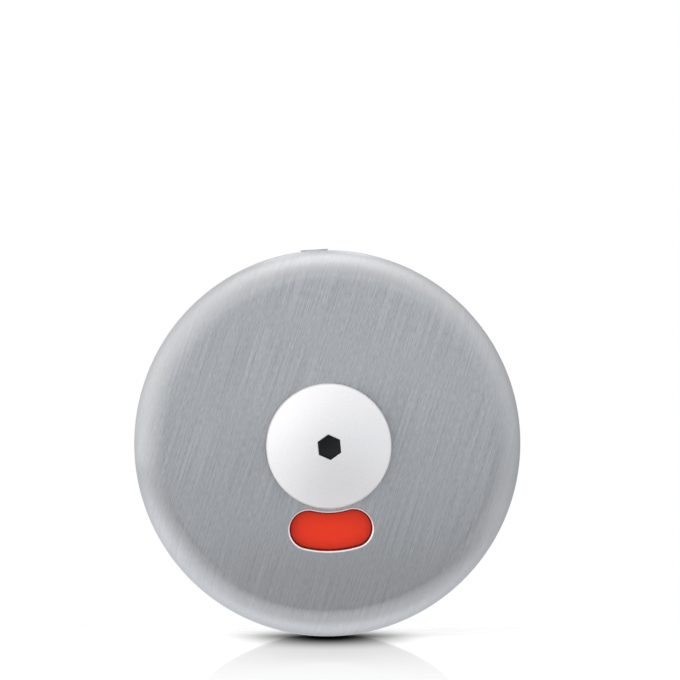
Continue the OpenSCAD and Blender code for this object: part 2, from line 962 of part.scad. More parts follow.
module thumb_turn() {
  edge = min(wing_edge_r, wing_t / 2 - 0.3);
  grub_z = foot_z + thumb_foot_h / 2;
  color(polished_steel)
    inner_side()
      difference() {
        union() {
          translate([0, 0, foot_z])
            rounded_disc(thumb_d / 2, thumb_foot_h, foot_edge_r);
          translate([0, 0, foot_top - 1])
            wing(wing_l, wing_t, wing_h + 1, edge);
          translate([0, 0, collar_end])
            cylinder(r = collar_r, h = foot_z - collar_end + 1);
        }
        square_bar(socket_w, collar_end - over, thumb_socket_top);
        translate([0, 0, grub_z])
          rotate([90, 0, 0])
            cylinder(r = fixing_screw_d / 2 + thread_fit, h = thumb_d);
      }
}

module grub_screw() {
  grub_z = foot_z + thumb_foot_h / 2;
  length = 5;
  key_af = fixing_screw_d / 2;
  color(steel)
    inner_side()
      translate([0, -spindle_w / 2 - 0.02, grub_z])
        rotate([90, 0, 0])
          difference() {
            cylinder(r = fixing_screw_d / 2, h = length);
            translate([0, 0, length - key_af])
              cylinder(r = key_af / sqrt(3), h = key_af + over, $fn = 6);
          }
}

outer_cover();
outer_base();
release_button();
indicator_disc();
red_label();
green_label();
outer_bush();
spring_washer();
circlip();
fixing_posts();
fixing_screws();
spindle();
inner_base();
inner_bush();
bolt();
pinion();
friction_spring();
retainer_plate();
retainer_screws();
inner_cover();
cover_screws();
thumb_washer();
thumb_turn();
grub_screw();
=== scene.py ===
"""Looks of a toilet indicator bolt: a brushed rose with a red window and a satin hex button.

The lock axis lies along Y, the public side is -Y and +Z is up. Lengths are in millimetres and
are turned to metres where a mesh is made. Angles run in the XZ plane from +X towards +Z.
"""
import math

import bmesh
import bpy
import numpy as np
from mathutils import Matrix, Vector


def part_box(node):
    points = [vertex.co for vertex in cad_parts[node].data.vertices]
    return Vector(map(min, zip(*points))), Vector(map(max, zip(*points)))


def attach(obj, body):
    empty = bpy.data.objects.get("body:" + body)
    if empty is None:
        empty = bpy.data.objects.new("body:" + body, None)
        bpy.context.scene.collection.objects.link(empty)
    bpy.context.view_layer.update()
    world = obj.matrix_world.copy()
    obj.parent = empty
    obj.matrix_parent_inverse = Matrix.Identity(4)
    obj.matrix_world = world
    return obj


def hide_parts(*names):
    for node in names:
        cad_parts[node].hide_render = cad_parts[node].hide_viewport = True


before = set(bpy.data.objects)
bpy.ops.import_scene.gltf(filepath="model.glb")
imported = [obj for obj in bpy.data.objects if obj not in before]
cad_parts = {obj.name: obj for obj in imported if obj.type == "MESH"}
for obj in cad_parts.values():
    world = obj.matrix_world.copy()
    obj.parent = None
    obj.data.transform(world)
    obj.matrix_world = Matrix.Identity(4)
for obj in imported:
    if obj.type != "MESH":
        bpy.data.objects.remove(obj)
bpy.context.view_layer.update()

MM = 0.001


def box_mm(node):
    """Lowest and highest corner of a CAD node in millimetres."""
    low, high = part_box(node)
    return np.array(low) / MM, np.array(high) / MM


# Driving sizes, from the frame
cover_low, cover_high = box_mm("outer_cover")
button_low, button_high = box_mm("release_button")
cover_r = (cover_high[0] - cover_low[0]) / 2
cover_face = -cover_low[1]
skirt_edge = -cover_high[1]
button_r = (button_high[0] - button_low[0]) / 2
journal_end = -button_high[1]

# Outer cover, as pressed and punched
sheet_t = 1.0
bend_r = 5.5
face_margin = 0.3
hole_r = 7.306
window_r = 15.6
window_half = 3.4
window_half_angle = math.radians(15)
window_middle = math.radians(-90)
rim_width = 0.32
rim_depth = 0.3
rim_guard = 0.5
breakout = 0.2
notch_half = 2.8
notch_h = 3.6
notch_angle = math.radians(92)
notch_wall = math.radians(0.03)
lip_r = 0.15
dent_angles = np.radians([30.0, 150.0, 270.0])
dent_half_angle = math.radians(5)
dent_ease = math.radians(1.5)
dent_h = 1.7
dent_half_h = 0.8
dent_depth = 0.5

# Release button
button_head = 10.6
button_side = 1.6
dome_r = 22.0
roll_r = 0.8
foot_r = 0.25
hex_af = 4.0
hex_depth = 4.0
hex_turn = math.radians(94.2)
hex_chamfer = 0.12
hex_floor_share = 0.97
hex_corner = 0.15
hex_drill_point = 0.6
round_from = 3.6
collar_r = 7.006
key_r = 6.006
journal_r = 5.006
journal_chamfer = 0.3
groove_r = 4.306
groove_low = 0.95
groove_high = 1.85
disc_top = 8.2
disc_bottom = 6.7
square_half = 2.55

# Points along each part of the grids
window_points = 13
window_end_points = 21
rest_points = 300
bend_points = 25
inner_bend_points = 13
skirt_points = 25
lip_points = 9
face_points = 5
rim_points = 9
button_points = 241
blend_points = 9
dome_points = 33
roll_points = 21
foot_points = 6
weld_m = 2e-7
sharp_edge = math.radians(35)

# Brush lines, as width and length. Real ones are near 0.05 mm wide; they are drawn at 0.2 mm so
# that they show.
hairline_mm = (0.2, 18.0)
scratch_mm = (0.2, 1.2)
scratch_share = 0.46
line_detail = 2.0
line_breakup = 0.55
line_low = 0.35
line_mean = 0.5
line_high = 0.65
steel_edge_tint = "#c0c1c4"

# Grain of the cast, moulded and plated finishes
grain_detail = 4.0
grain_breakup = 0.6
grain_dark = 0.3
grain_light = 0.7
grain_low = 0.25
grain_high = 0.75
grain_relief = 0.3


def srgb(code):
    """Linear colour of an sRGB hex code: ((c + 0.055) / 1.055) ** 2.4, or c / 12.92 when dark."""
    c = np.array([int(code[i:i + 2], 16) for i in (1, 3, 5)]) / 255
    linear = np.where(c > 0.04045, ((c + 0.055) / 1.055) ** 2.4, c / 12.92)
    return (*linear.tolist(), 1.0)


def add_node(tree, kind, inputs=None, **settings):
    """Adds a node: settings are its own properties, inputs gives each socket a value or a link."""
    made = tree.nodes.new(kind)
    for name, value in settings.items():
        setattr(made, name, value)
    for name, value in (inputs or {}).items():
        if isinstance(value, bpy.types.NodeSocket):
            tree.links.new(value, made.inputs[name])
        else:
            made.inputs[name].default_value = value
    return made


def new_material(name):
    """Empty node material, its tree and its surface output."""
    material = bpy.data.materials.new(name)
    material.use_nodes = True
    tree = material.node_tree
    tree.nodes.clear()
    return material, tree, add_node(tree, "ShaderNodeOutputMaterial")


def brushed_metal(name, dark, light, roughness, spread, stretch, lean, sheet_map=None, ironed=None):
    """Metal brushed in straight lines: long hairlines and short scratches, as stretched noise.

    The place on the sheet, from its own map or from Object coordinates, is turned by the lean so
    that the lines run along one axis. It is divided by a line's width across and by its length
    along. The two noises together move the colour from dark to light and the roughness by plus or
    minus spread. The reflection is stretched across the lines, and greyer at a grazing view.
    Where a die has ironed the sheet, from one radius to another in mm, the lines fade by a share.
    """
    material, tree, output = new_material(name)
    if sheet_map:
        place = add_node(tree, "ShaderNodeUVMap", uv_map=sheet_map).outputs["UV"]
        rotation = (0, 0, lean)
        across = [0]
    else:
        place = add_node(tree, "ShaderNodeTexCoord").outputs["Object"]
        rotation = (0, -lean, 0)
        across = [0, 1]
    turned = add_node(tree, "ShaderNodeMapping", {"Vector": place, "Rotation": rotation})
    layers = []
    for width_mm, length_mm in (hairline_mm, scratch_mm):
        scale = np.full(3, 1 / (length_mm * MM))
        scale[across] = 1 / (width_mm * MM)
        stretched = add_node(tree, "ShaderNodeMapping", {
            "Vector": turned.outputs["Vector"], "Scale": scale.tolist()})
        noise = add_node(tree, "ShaderNodeTexNoise", {
            "Vector": stretched.outputs["Vector"], "Scale": 1.0,
            "Detail": line_detail, "Roughness": line_breakup})
        layers.append(noise.outputs["Fac"])
    lines = add_node(tree, "ShaderNodeMix", {"Factor": scratch_share, "A": layers[0], "B": layers[1]})
    if ironed:
        start_mm, end_mm, share = ironed
        from_middle = add_node(tree, "ShaderNodeVectorMath", {0: place}, operation="LENGTH")
        smoothed = add_node(tree, "ShaderNodeMapRange", {
            "Value": from_middle.outputs["Value"],
            "From Min": start_mm * MM, "From Max": end_mm * MM, "To Max": share})
        lines = add_node(tree, "ShaderNodeMix", {
            "Factor": smoothed.outputs["Result"], "A": lines.outputs["Result"], "B": line_mean})
    colour = add_node(tree, "ShaderNodeValToRGB", {"Fac": lines.outputs["Result"]})
    colour.color_ramp.elements[0].position = line_low
    colour.color_ramp.elements[0].color = srgb(dark)
    colour.color_ramp.elements[1].position = line_high
    colour.color_ramp.elements[1].color = srgb(light)
    rough = add_node(tree, "ShaderNodeMapRange", {
        "Value": lines.outputs["Result"], "From Min": line_low, "From Max": line_high,
        "To Min": roughness + spread, "To Max": roughness - spread})
    around = add_node(tree, "ShaderNodeTangent", direction_type="RADIAL", axis="Z")
    surface = add_node(tree, "ShaderNodeBsdfPrincipled", {
        "Base Color": colour.outputs["Color"], "Metallic": 1.0, "Roughness": rough.outputs["Result"],
        "Anisotropic": stretch, "Tangent": around.outputs["Tangent"],
        "Specular Tint": srgb(steel_edge_tint)})
    tree.links.new(surface.outputs["BSDF"], output.inputs["Surface"])
    return material


def speckled(name, dark, light, metallic, roughness, spread, grain_mm, bump, **sockets):
    """Cast, moulded or plated finish: an even noise of one grain size moves colour, roughness and bump."""
    material, tree, output = new_material(name)
    coord = add_node(tree, "ShaderNodeTexCoord")
    noise = add_node(tree, "ShaderNodeTexNoise", {
        "Vector": coord.outputs["Object"], "Scale": 1 / (grain_mm * MM),
        "Detail": grain_detail, "Roughness": grain_breakup})
    colour = add_node(tree, "ShaderNodeValToRGB", {"Fac": noise.outputs["Fac"]})
    colour.color_ramp.elements[0].position = grain_dark
    colour.color_ramp.elements[0].color = srgb(dark)
    colour.color_ramp.elements[1].position = grain_light
    colour.color_ramp.elements[1].color = srgb(light)
    rough = add_node(tree, "ShaderNodeMapRange", {
        "Value": noise.outputs["Fac"], "From Min": grain_low, "From Max": grain_high,
        "To Min": roughness - spread, "To Max": roughness + spread})
    relief = add_node(tree, "ShaderNodeBump", {
        "Height": noise.outputs["Fac"], "Strength": bump, "Distance": grain_mm * MM * grain_relief})
    surface = add_node(tree, "ShaderNodeBsdfPrincipled", {
        "Base Color": colour.outputs["Color"], "Metallic": metallic,
        "Roughness": rough.outputs["Result"], "Normal": relief.outputs["Normal"], **sockets})
    tree.links.new(surface.outputs["BSDF"], output.inputs["Surface"])
    return material


# Stainless sheet, brushed before pressing: fine straight lines that lean right by nearly 20
# degrees. The press has ironed the bend, so that the lines fade from the flat face to its middle.
brush_lean = math.radians(19.6)
bend_start = cover_r - bend_r
bend_ironed = cover_r - 0.55 * bend_r
ironed_share = 0.6
brushed_cover = brushed_metal(
    "stainless_sheet_brushed", "#afb0b2", "#cbccce", roughness=0.34, spread=0.04, stretch=1.0,
    lean=brush_lean, sheet_map="sheet", ironed=(bend_start, bend_ironed, ironed_share))
# The same sheet on the inner case, brushed upright.
brushed_case = brushed_metal(
    "stainless_sheet_brushed_upright", "#afb0b2", "#cbccce", roughness=0.34, spread=0.04,
    stretch=1.0, lean=0.0)
# Cut edge of the sheet: rolled over and burnished by the punch, so it shows as a thin bright line.
burnished_edge = speckled(
    "stainless_punched_burnished", "#f2f2f3", "#ffffff",
    metallic=1.0, roughness=0.16, spread=0.03, grain_mm=0.4, bump=0.02)
# Torn side of the punched edge: rough, and coloured near black as painted shade, which draws the
# dark shadow line inside the window.
torn_edge_painted_shade = speckled(
    "stainless_punched_torn_painted_shade", "#2c2a2a", "#3c3836",
    metallic=0.6, roughness=0.6, spread=0.08, grain_mm=0.15, bump=0.2)
# Zinc die casting, bead blasted and plated: the fine pits scatter light almost as a white film does,
# so part of it is given as diffuse, and it looks near white with soft reflections.
satin_plate = speckled(
    "zinc_casting_bead_blasted_plated", "#eae9ea", "#f0eff0",
    metallic=0.6, roughness=0.55, spread=0.03, grain_mm=0.3, bump=0.02)
# The same casting on the thumb turn, plated satin: greyer, with clearer reflections.
satin_chrome = speckled(
    "zinc_casting_satin_chrome", "#bfc1c5", "#c7c9cc",
    metallic=1.0, roughness=0.32, spread=0.03, grain_mm=0.6, bump=0.02)
# Hex socket, cut by a broach and coloured near black as painted shade for its deep recess: matt and
# almost without reflections.
socket_painted_shade = speckled(
    "zinc_casting_socket_painted_shade", "#303133", "#38393b",
    metallic=0.0, roughness=0.55, spread=0.08, grain_mm=0.3, bump=0.15)
# Enamelled label in signal red: an even satin film.
red_enamel = speckled(
    "label_enamel_signal_red", "#ec3a22", "#f03e26",
    metallic=0.0, roughness=0.5, spread=0.03, grain_mm=0.6, bump=0.02,
    **{"Specular IOR Level": 0.12})
# Enamelled label in signal green: the same film, a little glossier.
green_enamel = speckled(
    "label_enamel_signal_green", "#2a9a4b", "#2d9f4f",
    metallic=0.0, roughness=0.42, spread=0.03, grain_mm=0.6, bump=0.02)
# Aluminium pressure die casting, tumbled: pale grey with a fine cast skin.
die_cast = speckled(
    "aluminium_die_cast_tumbled", "#dee0e2", "#e8eaec",
    metallic=1.0, roughness=0.44, spread=0.06, grain_mm=0.4, bump=0.2)
# Mild steel, zinc plated and clear passivated: bright with a faint blue cloudiness.
plated_steel = speckled(
    "steel_zinc_plated", "#b6bac0", "#bfc3c8",
    metallic=1.0, roughness=0.32, spread=0.04, grain_mm=0.5, bump=0.03)
# Spring steel strip, hardened: darker and smooth.
spring_steel = speckled(
    "spring_steel_hardened", "#77767a", "#87868a",
    metallic=1.0, roughness=0.28, spread=0.05, grain_mm=0.8, bump=0.04)
# Turned brass: warm and smooth, with a faint mottle.
turned_brass = speckled(
    "brass_turned", "#c09a4e", "#cba75c",
    metallic=1.0, roughness=0.26, spread=0.06, grain_mm=0.5, bump=0.06)
# Black nylon, moulded: dark satin with a fine spark-eroded grain.
black_nylon = speckled(
    "nylon_black_moulded", "#1b1b1d", "#242427",
    metallic=0.0, roughness=0.5, spread=0.05, grain_mm=0.35, bump=0.12)
# White acetal, moulded: milky and smooth.
white_acetal = speckled(
    "acetal_white_moulded", "#dcdbd5", "#e6e5df",
    metallic=0.0, roughness=0.4, spread=0.04, grain_mm=0.5, bump=0.06)

CAD_FINISH = {
    "outer_base": die_cast, "indicator_disc": black_nylon, "red_label": red_enamel,
    "green_label": green_enamel, "outer_bush": turned_brass, "spring_washer": spring_steel,
    "circlip": spring_steel, "fixing_posts": plated_steel, "fixing_screws": plated_steel,
    "spindle": plated_steel, "inner_base": die_cast, "inner_bush": turned_brass,
    "bolt": plated_steel, "pinion": turned_brass, "friction_spring": spring_steel,
    "retainer_plate": plated_steel, "retainer_screws": plated_steel,
    "inner_cover": brushed_case, "cover_screws": plated_steel,
    "thumb_washer": white_acetal, "thumb_turn": satin_chrome, "grub_screw": spring_steel,
    "outer_cover": brushed_cover, "release_button": satin_plate,
}
for node_name, node_finish in CAD_FINISH.items():
    node_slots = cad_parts[node_name].data.materials
    node_slots.clear()
    node_slots.append(node_finish)


def on_lock_axis(radius, angle, height):
    """Points from polar places: x = r cos a, z = r sin a, and y = -height, out to the public side."""
    radius, angle, height = np.broadcast_arrays(radius, angle, height)
    return np.stack([radius * np.cos(angle), -height, radius * np.sin(angle)], axis=-1)


def closed_piece(name, sheets, finishes, body, node):
    """One closed piece from several grids of points that run round and close on themselves.

    A sheet is (points[row, column], finish index, blank), where blank is each point's place on the
    flat sheet before pressing, or None where that is its x and z. Each cell of a grid becomes a
    face, the last column joins the first, and points that two sheets share are merged. Edges
    sharper than a set angle stay sharp.
    """
    points, faces, marks, blanks, start = [], [], [], [], 0
    for grid, mark, blank in sheets:
        rows, columns = grid.shape[:2]
        index = start + np.arange(rows * columns).reshape(rows, columns)
        index = np.concatenate([index, index[:, :1]], axis=1)
        cells = np.stack([index[:-1, :-1], index[:-1, 1:], index[1:, 1:], index[1:, :-1]], axis=-1)
        faces.append(cells.reshape(-1, 4))
        marks.append(np.full(len(faces[-1]), mark))
        points.append(grid.reshape(-1, 3) * MM)
        blanks.append((grid[..., [0, 2]] if blank is None else blank).reshape(-1, 2) * MM)
        start += rows * columns
    mesh = bpy.data.meshes.new(name)
    mesh.from_pydata(np.concatenate(points).tolist(), [], np.concatenate(faces).tolist())
    mesh.polygons.foreach_set("material_index", np.concatenate(marks).astype(np.int32))
    corners = np.concatenate(blanks)[np.concatenate(faces).reshape(-1)]
    mesh.uv_layers.new(name="sheet").data.foreach_set("uv", corners.reshape(-1))
    shell = bmesh.new()
    shell.from_mesh(mesh)
    bmesh.ops.remove_doubles(shell, verts=shell.verts, dist=weld_m)
    bmesh.ops.recalc_face_normals(shell, faces=shell.faces)
    shell.to_mesh(mesh)
    shell.free()
    mesh.shade_smooth()
    mesh.set_sharp_from_angle(angle=sharp_edge)
    piece = bpy.data.objects.new(name, mesh)
    bpy.context.scene.collection.objects.link(piece)
    for finish in finishes:
        mesh.materials.append(finish)
    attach(piece, body)
    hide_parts(node)


def arc(centre_r, centre_h, radius, start, end, steps):
    """Radii and heights of an arc in the section plane, from one angle to another in degrees."""
    turn = np.radians(np.linspace(start, end, steps))
    return centre_r + radius * np.cos(turn), centre_h + radius * np.sin(turn)


def cover_columns():
    """Angles of the cover's columns, and which of them cross the window.

    Over the window's straight part the steps are even. Over its round ends they follow a sine, so
    that the ends stay round. The rest is even again, with each side of the notch drawn twice.
    """
    end_reach = math.asin((window_half + rim_guard) / window_r)
    middle = np.linspace(0, window_half_angle, window_points)
    ease = np.sin(np.linspace(0, math.pi / 2, window_end_points)[1:])
    half = np.concatenate([middle, window_half_angle + end_reach * ease])
    across = np.concatenate([-half[:0:-1], half])
    notch_reach = math.asin(notch_half / cover_r) * np.array([-1.0, 1.0])
    notch = (notch_angle - window_middle) + notch_reach
    doubled = np.concatenate([notch - notch_wall, notch + notch_wall])
    rest = np.linspace(half[-1], 2 * math.pi - half[-1], rest_points)[1:-1]
    rest = np.sort(np.concatenate([rest, doubled]))
    offset = np.concatenate([across, rest])
    return offset, np.arange(len(offset)) < len(across)


def window_edges(offset, crosses):
    """Where each column meets the window: centre-line point and direction, at both edges.

    The window is every point within half its width of an arc. On the arc the edges lie straight in
    and out. On a round end the column is a ray that cuts the end's circle twice, at
    r = R cos b -/+ sqrt(g*g - (R sin b)**2), with b its angle past the end's centre.
    """
    reach = window_half + rim_guard
    past = np.maximum(np.abs(offset) - window_half_angle, 0) * crosses
    on_line = np.clip(offset, -window_half_angle, window_half_angle)
    centre = window_r * np.stack([np.cos(on_line), np.sin(on_line)], axis=-1)
    ray = np.stack([np.cos(offset), np.sin(offset)], axis=-1)
    root = np.sqrt(np.maximum(reach ** 2 - (window_r * np.sin(past)) ** 2, 0))
    edges = []
    for sign in (-1, 1):
        place = (window_r * np.cos(past) + sign * root)[:, None] * ray
        edges.append((centre, (place - centre) / reach))
    return edges


def outer_cover():
    """Pressed cup: flat face with hole and window, rolled edge, skirt, and the same inside.

    The skirt's section is carried round the axis. Its lower edge rises inside the notch, and its
    radius is pressed in by a cosine hump at each dent. The face is two rings of cells, one inside
    and one outside the window's line, and the window's rim is a section carried along the kidney
    outline: a quarter ellipse where the punch rolled the edge over, and a straight torn part.
    """
    offset, crosses = cover_columns()
    angle = offset + window_middle
    ones = np.ones_like(angle)
    from_notch = np.abs(offset - (notch_angle - window_middle))
    edge = np.where(from_notch < math.asin(notch_half / cover_r), notch_h, skirt_edge)
    bend_h = cover_face - bend_r
    flat_r = cover_r - bend_r
    guard_r = flat_r - face_margin
    back = cover_face - sheet_t

    roll_out = arc(flat_r, bend_h, bend_r, 90, 0, bend_points)
    roll_in = arc(flat_r, bend_h, bend_r - sheet_t, 0, 90, inner_bend_points)
    run = np.linspace(0, 1, skirt_points)[1:, None]
    skirt_down = bend_h + (edge + lip_r - bend_h) * run
    skirt_up = skirt_down[::-1]
    lip_turn = np.radians(np.linspace(0, -180, lip_points))[1:, None]
    lip_out = sheet_t / 2 - lip_r + lip_r * np.abs(np.cos(lip_turn))
    lip_from_axis = cover_r - sheet_t / 2 + lip_out * np.sign(np.cos(lip_turn)) * ones
    around = np.abs((angle[None, :] - dent_angles[:, None] + math.pi) % (2 * math.pi) - math.pi)
    along = np.clip((dent_half_angle - around) / dent_ease, 0, 1).max(axis=0)

    def dented(height):
        """How far the skirt is pressed in: a cosine hump in height, eased off at the dent's ends."""
        hump = np.clip(np.abs(height - dent_h) / dent_half_h, 0, 1)
        return dent_depth * 0.5 * (1 + np.cos(math.pi * hump)) * along

    radius = np.concatenate([
        guard_r * ones[None], roll_out[0][:, None] * ones, cover_r - dented(skirt_down),
        lip_from_axis, cover_r - sheet_t - dented(skirt_up), roll_in[0][:, None] * ones])
    height = np.concatenate([
        cover_face * ones[None], roll_out[1][:, None] * ones, skirt_down,
        edge + lip_r + lip_r * np.sin(lip_turn), skirt_up, roll_in[1][:, None] * ones])
    cup = on_lock_axis(radius, angle, height)
    steps = np.hypot(np.diff(radius, axis=0), np.diff(height, axis=0))
    length = guard_r + np.concatenate([0 * ones[None], np.cumsum(steps, axis=0)])
    cup_blank = length[..., None] * np.stack([np.cos(angle), np.sin(angle)], axis=-1)

    inner, outer = window_edges(offset, crosses)
    to_window = np.array([[math.cos(window_middle), math.sin(window_middle)],
                          [-math.sin(window_middle), math.cos(window_middle)]])

    def at(places, height):
        """Points at a height from places in the window's own plane, turned to where the window is."""
        flat = places @ to_window
        return np.stack([flat[..., 0], np.full(flat.shape[:-1], -height), flat[..., 1]], axis=-1)

    def ring(start, end, height):
        """Flat ring between two rows of places: straight rows from the first to the second."""
        share = np.linspace(0, 1, face_points)[:, None, None]
        return at(start + (end - start) * share, height)

    ray = np.stack([np.cos(offset), np.sin(offset)], axis=-1)
    tip = np.hypot(*(inner[0] + (window_half + rim_guard) * inner[1])[crosses][0])

    def edge_row(side, grow):
        """The window's inner or outer edge, grown by a distance; columns beside it meet one ring."""
        place = side[0] + (window_half + grow) * side[1]
        return np.where(crosses[:, None], place, tip * ray)

    face_in = ring(hole_r * ray, edge_row(inner, rim_guard), cover_face)
    face_out = ring(edge_row(outer, rim_guard), guard_r * ray, cover_face)
    back_in = ring(hole_r * ray, edge_row(inner, -breakout), back)
    back_out = ring(edge_row(outer, -breakout), flat_r * ray, back)
    bore = on_lock_axis(hole_r, angle, np.array([[cover_face], [back]]))

    centre = np.concatenate([outer[0][crosses], inner[0][crosses][::-1][1:-1]])
    away = np.concatenate([outer[1][crosses], inner[1][crosses][::-1][1:-1]])

    def punched(grow, drop):
        """Rows along the kidney outline, each grown by a distance and set back by a depth."""
        return np.stack([at(centre + (window_half + g) * away, cover_face - d)
                         for g, d in zip(grow, drop)])

    quarter = np.linspace(0, math.pi / 2, rim_points)
    rim_flat = punched([rim_guard, rim_width], [0.0, 0.0])
    rim = punched(rim_width * (1 - np.sin(quarter)), rim_depth * (1 - np.cos(quarter)))
    torn = punched([0.0, -breakout], [rim_depth, sheet_t])

    # The torn part takes the near-black painted shade finish.
    brushed, burnished, rough = 0, 1, 2
    sheets = [(cup, brushed, cup_blank)]
    sheets += [(grid, brushed, None) for grid in (face_in, face_out, back_in, back_out, bore, rim_flat)]
    sheets += [(rim, burnished, None), (torn, rough, None)]
    closed_piece("cover_shell", sheets, [brushed_cover, burnished_edge, torn_edge_painted_shade],
                 "lock_body", "outer_cover")


def release_button():
    """Button: hex socket, dome, rolled edge and stem, as rows of one section about the axis.

    The hex outline at an angle a is half its width over cos(a - nearest flat). The square bore's is
    half its width over the larger of |cos a| and |sin a|. The rows between an outline and a circle
    blend the two radii.
    """
    hex_corners = hex_turn + np.arange(6) * math.pi / 3
    square_corners = math.pi / 4 + np.arange(4) * math.pi / 2
    corners = np.concatenate([hex_corners, square_corners]) % (2 * math.pi)
    angle = np.unique(np.concatenate([np.linspace(0, 2 * math.pi, button_points)[:-1], corners]))
    ones = np.ones_like(angle)
    from_flat = (angle - hex_turn) % (math.pi / 3) - math.pi / 6
    hexagon = hex_af / 2 / np.cos(from_flat)
    square = square_half / np.maximum(np.abs(np.cos(angle)), np.abs(np.sin(angle)))

    edge_h = button_head + button_side
    dome_h = edge_h - math.sqrt((dome_r - roll_r) ** 2 - (button_r - roll_r) ** 2)
    join = (button_r - roll_r) / (dome_r - roll_r)

    def on_dome(radius):
        """Height of the domed face: a sphere about the lock axis."""
        return dome_h + np.sqrt(dome_r ** 2 - radius ** 2)

    mouth = hexagon * (1 + 2 * hex_chamfer / hex_af)
    mouth_h = on_dome(mouth)
    floor_h = dome_h + dome_r - hex_depth
    socket_r = np.stack([0 * ones, hexagon * hex_floor_share, hexagon, hexagon])
    socket_h = np.stack([(floor_h - hex_drill_point) * ones, floor_h * ones,
                         (floor_h + hex_corner) * ones, mouth_h - hex_chamfer])

    chamfer_r = np.stack([hexagon, mouth])
    chamfer_h = np.stack([mouth_h - hex_chamfer, mouth_h])
    blend = np.linspace(0, 1, blend_points)[1:, None]
    blend_r = mouth + (round_from - mouth) * blend
    dome_run = np.linspace(round_from, join * dome_r, dome_points)[1:, None] * ones
    face_r = np.concatenate([blend_r, dome_run])
    roll = arc(button_r - roll_r, edge_h, roll_r, math.degrees(math.acos(join)), 0, roll_points)
    foot = arc(button_r - foot_r, button_head + foot_r, foot_r, 0, -90, foot_points)
    stem_r = np.array([collar_r, collar_r, key_r, key_r, journal_r, journal_r, groove_r, groove_r,
                       journal_r, journal_r, journal_r - journal_chamfer])
    stem_h = np.array([button_head, disc_top, disc_top, disc_bottom, disc_bottom, groove_high,
                       groove_high, groove_low, groove_low, journal_end + journal_chamfer, journal_end])
    turned_r = np.concatenate([roll[0][1:], foot[0], stem_r])[:, None] * ones
    turned_h = np.concatenate([roll[1][1:], foot[1], stem_h])[:, None] * ones
    bore_r = np.stack([square, square, 0 * ones])
    bore_h = np.stack([journal_end * ones, disc_bottom * ones, disc_bottom * ones])
    outside_r = np.concatenate([chamfer_r, face_r, turned_r, bore_r])
    outside_h = np.concatenate([chamfer_h, on_dome(face_r), turned_h, bore_h])

    # The socket's inside takes the near-black painted shade finish.
    plated, shaded_socket = 0, 1
    sheets = [(on_lock_axis(socket_r, angle, socket_h), shaded_socket, None),
              (on_lock_axis(outside_r, angle, outside_h), plated, None)]
    closed_piece("button_domed", sheets, [satin_plate, socket_painted_shade],
                 "turning_set", "release_button")


outer_cover()
release_button()

# Camera, placed from the photograph's frame: the rose's outline, its scale in px per mm and its roll
IMAGE_PX = 680
photo_centre = (327.58, 443.55)
photo_scale = 5.516
photo_roll = math.radians(1.76)
sensor = 36.0
clip_m = 100
camera_at = np.array([-20.0, -700.0, 43.5])
picture_up = np.array([math.sin(photo_roll), 0, math.cos(photo_roll)])
picture_right = np.array([math.cos(photo_roll), 0, -math.sin(photo_roll)])
outline_at = np.array([0, bend_r - cover_face, 0])
view_depth = np.linalg.norm(camera_at - outline_at)
focal_px = photo_scale * view_depth
axis_z = (camera_at - outline_at) / view_depth
axis_x = np.cross(picture_up, axis_z)
axis_x /= np.linalg.norm(axis_x)
view_axes = np.stack([axis_x, np.cross(axis_z, axis_x), axis_z], axis=1)
seen_at = Vector((photo_centre[0] - IMAGE_PX / 2, IMAGE_PX / 2 - photo_centre[1], -focal_px))
off_centre = seen_at.rotation_difference(Vector((0, 0, -1))).to_matrix()
view_turn = Matrix(view_axes.tolist()) @ off_centre
camera_data = bpy.data.cameras.new("camera")
camera_data.sensor_width = sensor
camera_data.lens = sensor * focal_px / IMAGE_PX
camera_data.clip_end = clip_m
camera = bpy.data.objects.new("camera", camera_data)
camera.matrix_world = Matrix.Translation(Vector(camera_at * MM)) @ view_turn.to_4x4()
bpy.context.scene.collection.objects.link(camera)
bpy.context.scene.camera = camera

# Floor: a plain pale round sheet that touches the rim of the rose, level in the picture
floor_r = 260.0
floor_columns = 97
floor_rows = 15
floor_turn = np.linspace(0, 2 * math.pi, floor_columns)[:-1]
floor_out = np.linspace(0, floor_r, floor_rows)[:, None]
floor_grid = (-cover_r * picture_up + (floor_out * np.cos(floor_turn))[..., None] * picture_right
              + (floor_out * np.sin(floor_turn))[..., None] * np.array([0, 1, 0]))
floor_index = np.arange(floor_grid.size // 3).reshape(floor_grid.shape[:2])
floor_index = np.concatenate([floor_index, floor_index[:, :1]], axis=1)
floor_cells = np.stack([floor_index[:-1, :-1], floor_index[1:, :-1],
                        floor_index[1:, 1:], floor_index[:-1, 1:]], axis=-1)
floor_mesh = bpy.data.meshes.new("floor")
floor_mesh.from_pydata((floor_grid * MM).reshape(-1, 3).tolist(), [], floor_cells.reshape(-1, 4).tolist())
floor = bpy.data.objects.new("floor", floor_mesh)
bpy.context.scene.collection.objects.link(floor)

# White laminate, pressed smooth: matt white under a thin clear face that mirrors a little near the
# rose. A painted contact shadow darkens it in an oval under the rim, and it fades out into the
# white background.
show_from = 45.0
show_fade = (45.0, 95.0)
rear_fade_y = (-6.0, 13.0)
metal_fade = (150.0, floor_r)
